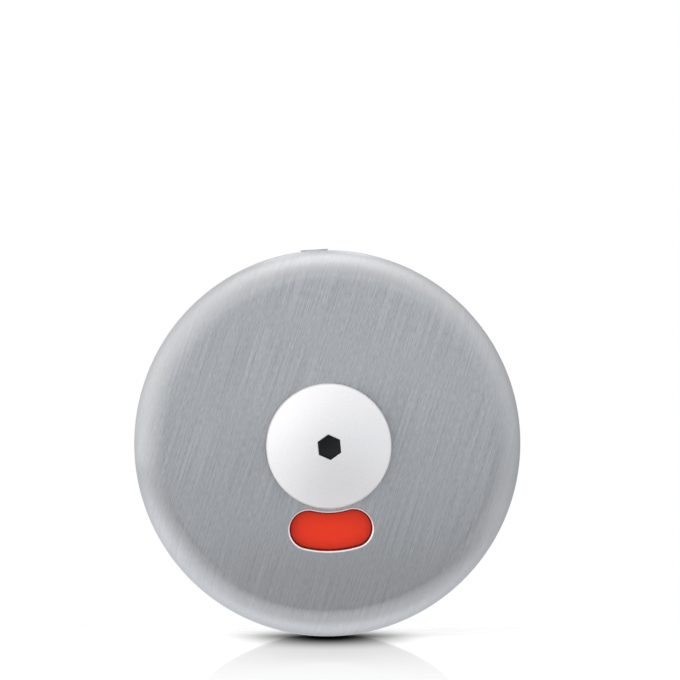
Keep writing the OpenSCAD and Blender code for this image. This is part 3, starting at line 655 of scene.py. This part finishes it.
# Painted contact shadow: an oval ahead of the rim's foot in mm, its half sizes, where it fades, and its
# dark tone
oval_from = 6.0
oval_mm = (10.0, 11.0, 10.0)
oval_fade = (0.25, 2.0)
painted_shadow_dark = "#101010"
laminate_white = "#f8f8f8"
laminate_lift = 0.16
clear_rough = 0.05
clear_ior = 1.45
mirror_mm = (15.0, 110.0)
mirror_most = 0.62
mirror_least = 0.12
rim_foot = Vector(-cover_r * picture_up * MM)
floor_paint, floor_tree, floor_output = new_material("floor_white_laminate")
spot = add_node(floor_tree, "ShaderNodeTexCoord").outputs["Object"]
spot_part = add_node(floor_tree, "ShaderNodeSeparateXYZ", {"Vector": spot}).outputs
from_rim = add_node(floor_tree, "ShaderNodeVectorMath", {0: spot, 1: rim_foot}, operation="DISTANCE")
from_front = add_node(floor_tree, "ShaderNodeVectorMath", {
    0: spot, 1: rim_foot - Vector((0, show_from * MM, 0))}, operation="DISTANCE")
# Painted contact shadow: the floor's colour goes to near black in the oval, and the mirror and the lift are
# taken away there too
from_oval = add_node(floor_tree, "ShaderNodeVectorMath", {
    0: spot, 1: rim_foot - Vector((0, oval_from * MM, 0))}, operation="SUBTRACT")
oval = add_node(floor_tree, "ShaderNodeVectorMath", {
    0: from_oval.outputs["Vector"], 1: [1 / (size * MM) for size in oval_mm]}, operation="MULTIPLY")
oval_out = add_node(floor_tree, "ShaderNodeVectorMath", {0: oval.outputs["Vector"]}, operation="LENGTH")
outside_painted_shadow = add_node(floor_tree, "ShaderNodeMapRange", {
    "Value": oval_out.outputs["Value"], "From Min": oval_fade[0], "From Max": oval_fade[1]},
    interpolation_type="SMOOTHSTEP").outputs["Result"]
floor_with_painted_shadow = add_node(floor_tree, "ShaderNodeMixRGB", {
    "Fac": outside_painted_shadow, "Color1": srgb(painted_shadow_dark), "Color2": srgb(laminate_white)})
matt = add_node(floor_tree, "ShaderNodeBsdfDiffuse", {"Color": floor_with_painted_shadow.outputs["Color"]})
gloss = add_node(floor_tree, "ShaderNodeBsdfGlossy", {"Color": (1, 1, 1, 1), "Roughness": clear_rough})
near_mirror = add_node(floor_tree, "ShaderNodeMapRange", {
    "Value": from_rim.outputs["Value"], "From Min": mirror_mm[0] * MM, "From Max": mirror_mm[1] * MM,
    "To Min": mirror_most, "To Max": mirror_least})
fresnel = add_node(floor_tree, "ShaderNodeFresnel", {"IOR": clear_ior})
open_mirror = add_node(floor_tree, "ShaderNodeMath", {
    0: near_mirror.outputs["Result"], 1: outside_painted_shadow}, operation="MULTIPLY")
mirror_share = add_node(floor_tree, "ShaderNodeMath", {
    0: open_mirror.outputs["Value"], 1: fresnel.outputs["Fac"]}, operation="MULTIPLY")
laminate = add_node(floor_tree, "ShaderNodeMixShader", {
    0: mirror_share.outputs["Value"], 1: matt.outputs["BSDF"], 2: gloss.outputs["BSDF"]})
lift_level = add_node(floor_tree, "ShaderNodeMath", {0: outside_painted_shadow, 1: laminate_lift}, operation="MULTIPLY")
lift = add_node(floor_tree, "ShaderNodeEmission", {
    "Color": (1, 1, 1, 1), "Strength": lift_level.outputs["Value"]})
lifted = add_node(floor_tree, "ShaderNodeAddShader", {
    0: laminate.outputs["Shader"], 1: lift.outputs["Emission"]})

# What the metal shows of the floor: a plain light. It is brighter close under the rim and dimmer
# behind the rose, as (start and end along y, tone at each). Its patches are dimmer ahead in the
# middle, brighter on the left and dimmest far ahead, as (change, along y, across in x, soft edge).
# The dim ones are measured to both sides from a line a little to the right.
metal_tint = "#fafcff"
dim_line_x = 8.0
tone_ramps = (((-8.5, -11.5), (1.25, 0.96)),
              ((-5.0, 32.0), (1.0, 0.62)))
from_dim_line = add_node(floor_tree, "ShaderNodeMath", {
    0: spot_part["X"], 1: dim_line_x * MM}, operation="SUBTRACT")
aside = add_node(floor_tree, "ShaderNodeMath", {0: from_dim_line.outputs["Value"]}, operation="ABSOLUTE")
tone_patches = ((-0.47, (-9.5, -40.0), aside.outputs["Value"], (50.0, 28.0), "SMOOTHSTEP"),
                (0.5, (-40.0, -18.0), spot_part["X"], (-5.0, -60.0), "LINEAR"),
                (-0.84, (-80.0, -150.0), aside.outputs["Value"], (70.0, 36.0), "SMOOTHSTEP"))
floor_level = 1.0
for along_mm, ramp_tones in tone_ramps:
    ramp = add_node(floor_tree, "ShaderNodeMapRange", {
        "Value": spot_part["Y"], "From Min": along_mm[0] * MM, "From Max": along_mm[1] * MM,
        "To Min": ramp_tones[0], "To Max": ramp_tones[1]})
    floor_level = add_node(floor_tree, "ShaderNodeMath", {
        0: floor_level, 1: ramp.outputs["Result"]}, operation="MULTIPLY").outputs["Value"]
for change, along_mm, across_x, across_mm, soft in tone_patches:
    lengthwise = add_node(floor_tree, "ShaderNodeMapRange", {
        "Value": spot_part["Y"], "From Min": along_mm[0] * MM, "From Max": along_mm[1] * MM,
        "To Max": change})
    crosswise = add_node(floor_tree, "ShaderNodeMapRange", {
        "Value": across_x, "From Min": across_mm[0] * MM, "From Max": across_mm[1] * MM},
        interpolation_type=soft)
    patch = add_node(floor_tree, "ShaderNodeMath", {
        0: lengthwise.outputs["Result"], 1: crosswise.outputs["Result"], 2: 1.0},
        operation="MULTIPLY_ADD")
    floor_level = add_node(floor_tree, "ShaderNodeMath", {
        0: floor_level, 1: patch.outputs["Value"]}, operation="MULTIPLY").outputs["Value"]
plain = add_node(floor_tree, "ShaderNodeEmission", {"Color": srgb(metal_tint), "Strength": floor_level})
floor_path = add_node(floor_tree, "ShaderNodeLightPath")
first_bounce = add_node(floor_tree, "ShaderNodeMath", {
    0: floor_path.outputs["Ray Depth"], 1: 1.5}, operation="LESS_THAN")
in_metal = add_node(floor_tree, "ShaderNodeMath", {
    0: floor_path.outputs["Is Glossy Ray"], 1: first_bounce.outputs["Value"]},
    operation="MULTIPLY").outputs["Value"]
floor_seen = add_node(floor_tree, "ShaderNodeMixShader", {
    0: in_metal, 1: lifted.outputs["Shader"], 2: plain.outputs["Emission"]})

# Where the floor ends: sooner to the camera than in the metal, and not at all from below
ends = []
for end_value, end_mm in ((from_front.outputs["Value"], show_fade), (spot_part["Y"], rear_fade_y),
                          (from_rim.outputs["Value"], metal_fade)):
    ends.append(add_node(floor_tree, "ShaderNodeMapRange", {
        "Value": end_value, "From Min": end_mm[0] * MM, "From Max": end_mm[1] * MM},
        interpolation_type="SMOOTHSTEP").outputs["Result"])
shown_end = add_node(floor_tree, "ShaderNodeMath", {0: ends[0], 1: ends[1]}, operation="MAXIMUM")
floor_end = add_node(floor_tree, "ShaderNodeMix", {
    "Factor": in_metal, "A": shown_end.outputs["Value"], "B": ends[2]})
from_below = add_node(floor_tree, "ShaderNodeNewGeometry").outputs["Backfacing"]
gone = add_node(floor_tree, "ShaderNodeMath", {
    0: floor_end.outputs["Result"], 1: from_below}, operation="MAXIMUM")
clear = add_node(floor_tree, "ShaderNodeBsdfTransparent")
floor_sheet = add_node(floor_tree, "ShaderNodeMixShader", {
    0: gone.outputs["Value"], 1: floor_seen.outputs["Shader"], 2: clear.outputs["BSDF"]})
floor_tree.links.new(floor_sheet.outputs["Shader"], floor_output.inputs["Surface"])
floor_mesh.materials.append(floor_paint)

# World: plain white to the camera, a plain sky as light, and studio tones where metal mirrors it.
# The tones are dimmest ahead, low on the right, and brightest opposite. A narrow dark band lies low
# ahead, and a dimmer canopy high ahead. The rear is dim, most of all on the right, apart from a
# light slot in its middle. The dim side is a touch cooler.
dim_side = Vector((0.42, -1.0, -0.36)).normalized()
dim_angles = (10, 125)
cool_angles = (30, 80)
dim_level = 0.795
bright_level = 1.7
cool_tint = "#f5faff"
band_level = 0.08
canopy_side = Vector((0.0, -0.65, 0.76)).normalized()
canopy_angles = (32, 8)
canopy_level = 0.8
rear_y = (0.35, 0.9)
rear_level = 0.4
right_rear_side = Vector((0.6, 0.8, 0.0))
right_rear_reach = (0.62, 0.95)
right_rear_level = 0.6
slot_x = (0.3, 0.12)
slot_steps = (((-0.02, 0.03), 0.75), ((0.12, 0.4), 0.45))
sky_z = (0.1, 0.7)
sky_low = 0.92
sky_high = 0.7
world = bpy.data.worlds.new("studio")
bpy.context.scene.world = world
world.use_nodes = True
sky = world.node_tree
sky.nodes.clear()
sky_path = add_node(sky, "ShaderNodeLightPath").outputs
aim = add_node(sky, "ShaderNodeTexCoord").outputs["Generated"]
aim_part = add_node(sky, "ShaderNodeSeparateXYZ", {"Vector": aim}).outputs
beside = add_node(sky, "ShaderNodeMath", {0: aim_part["X"]}, operation="ABSOLUTE").outputs["Value"]

to_dim_side = add_node(sky, "ShaderNodeVectorMath", {0: aim, 1: dim_side}, operation="DOT_PRODUCT")
studio = add_node(sky, "ShaderNodeMapRange", {
    "Value": to_dim_side.outputs["Value"], "From Min": math.cos(math.radians(dim_angles[0])),
    "From Max": math.cos(math.radians(dim_angles[1])), "To Min": dim_level, "To Max": bright_level})

band_depth = 1.0 - band_level
for band_value, band_from, band_to, band_soft in (
        (aim_part["Z"], -0.06, -0.11, "SMOOTHSTEP"), (aim_part["Z"], -0.26, -0.13, "SMOOTHSTEP"),
        (aim_part["Y"], -0.6, -0.92, "SMOOTHSTEP"), (beside, 0.28, 0.12, "LINEAR")):
    band_side = add_node(sky, "ShaderNodeMapRange", {
        "Value": band_value, "From Min": band_from, "From Max": band_to}, interpolation_type=band_soft)
    band_depth = add_node(sky, "ShaderNodeMath", {
        0: band_depth, 1: band_side.outputs["Result"]}, operation="MULTIPLY").outputs["Value"]
band = add_node(sky, "ShaderNodeMath", {0: 1.0, 1: band_depth}, operation="SUBTRACT")

to_canopy = add_node(sky, "ShaderNodeVectorMath", {0: aim, 1: canopy_side}, operation="DOT_PRODUCT")
canopy = add_node(sky, "ShaderNodeMapRange", {
    "Value": to_canopy.outputs["Value"], "From Min": math.cos(math.radians(canopy_angles[0])),
    "From Max": math.cos(math.radians(canopy_angles[1])), "To Min": 1.0, "To Max": canopy_level},
    interpolation_type="SMOOTHSTEP")

rear = add_node(sky, "ShaderNodeMapRange", {
    "Value": aim_part["Y"], "From Min": rear_y[0], "From Max": rear_y[1],
    "To Min": 1.0, "To Max": rear_level})
to_right_rear = add_node(sky, "ShaderNodeVectorMath", {
    0: aim, 1: right_rear_side}, operation="DOT_PRODUCT")
right_rear = add_node(sky, "ShaderNodeMapRange", {
    "Value": to_right_rear.outputs["Value"], "From Min": right_rear_reach[0],
    "From Max": right_rear_reach[1], "To Min": 1.0, "To Max": right_rear_level})
dim_rear = add_node(sky, "ShaderNodeMath", {
    0: rear.outputs["Result"], 1: right_rear.outputs["Result"]}, operation="MULTIPLY")
slot_width = add_node(sky, "ShaderNodeMapRange", {
    "Value": beside, "From Min": slot_x[0], "From Max": slot_x[1]})
slot_tones = [add_node(sky, "ShaderNodeMapRange", {
    "Value": aim_part["Z"], "From Min": step_z[0], "From Max": step_z[1],
    "To Max": step_level}).outputs["Result"] for step_z, step_level in slot_steps]
slot_tone = add_node(sky, "ShaderNodeMath", {0: slot_tones[0], 1: slot_tones[1]}, operation="ADD")
light_slot = add_node(sky, "ShaderNodeMath", {
    0: slot_width.outputs["Result"], 1: slot_tone.outputs["Value"]}, operation="MULTIPLY")
rear_tone = add_node(sky, "ShaderNodeMath", {
    0: dim_rear.outputs["Value"], 1: light_slot.outputs["Value"]}, operation="MAXIMUM")

mirror_tone = studio.outputs["Result"]
for tone_share in (band.outputs["Value"], canopy.outputs["Result"], rear_tone.outputs["Value"]):
    mirror_tone = add_node(sky, "ShaderNodeMath", {
        0: mirror_tone, 1: tone_share}, operation="MULTIPLY").outputs["Value"]
from_cool = add_node(sky, "ShaderNodeMapRange", {
    "Value": to_dim_side.outputs["Value"], "From Min": math.cos(math.radians(cool_angles[0])),
    "From Max": math.cos(math.radians(cool_angles[1]))})
mirror_tint = add_node(sky, "ShaderNodeMixRGB", {
    "Fac": from_cool.outputs["Result"], "Color1": srgb(cool_tint), "Color2": (1, 1, 1, 1)})
mirror_sky = add_node(sky, "ShaderNodeBackground", {
    "Color": mirror_tint.outputs["Color"], "Strength": mirror_tone})
plain_level = add_node(sky, "ShaderNodeMapRange", {
    "Value": aim_part["Z"], "From Min": sky_z[0], "From Max": sky_z[1],
    "To Min": sky_low, "To Max": sky_high})
plain_sky = add_node(sky, "ShaderNodeBackground", {
    "Color": (1, 1, 1, 1), "Strength": plain_level.outputs["Result"]})
camera_sky = add_node(sky, "ShaderNodeBackground", {"Color": (1, 1, 1, 1), "Strength": 1.0})
mirrored = add_node(sky, "ShaderNodeMath", {
    0: sky_path["Is Glossy Ray"], 1: sky_path["Is Transmission Ray"]}, operation="MAXIMUM")
lit = add_node(sky, "ShaderNodeMixShader", {
    0: mirrored.outputs["Value"], 1: plain_sky.outputs["Background"],
    2: mirror_sky.outputs["Background"]})
white = add_node(sky, "ShaderNodeMixShader", {
    0: sky_path["Is Camera Ray"], 1: lit.outputs["Shader"], 2: camera_sky.outputs["Background"]})
add_node(sky, "ShaderNodeOutputWorld", {"Surface": white.outputs["Shader"]})

# Key light: one large soft square, high in front on the left, which the metal doesn't mirror
key_at = Vector((-520.0, -520.0, 620.0))
key_size = 1400.0
key_watts = 5.2
key_data = bpy.data.lights.new("key", "AREA")
key_data.shape = "SQUARE"
key_data.size = key_size * MM
key_data.energy = key_watts
key = bpy.data.objects.new("key", key_data)
key_turn = (-key_at).to_track_quat("-Z", "Y").to_matrix()
key.matrix_world = Matrix.Translation(key_at * MM) @ key_turn.to_4x4()
key.visible_glossy = False
bpy.context.scene.collection.objects.link(key)

bpy.context.scene.view_settings.view_transform = "Standard"
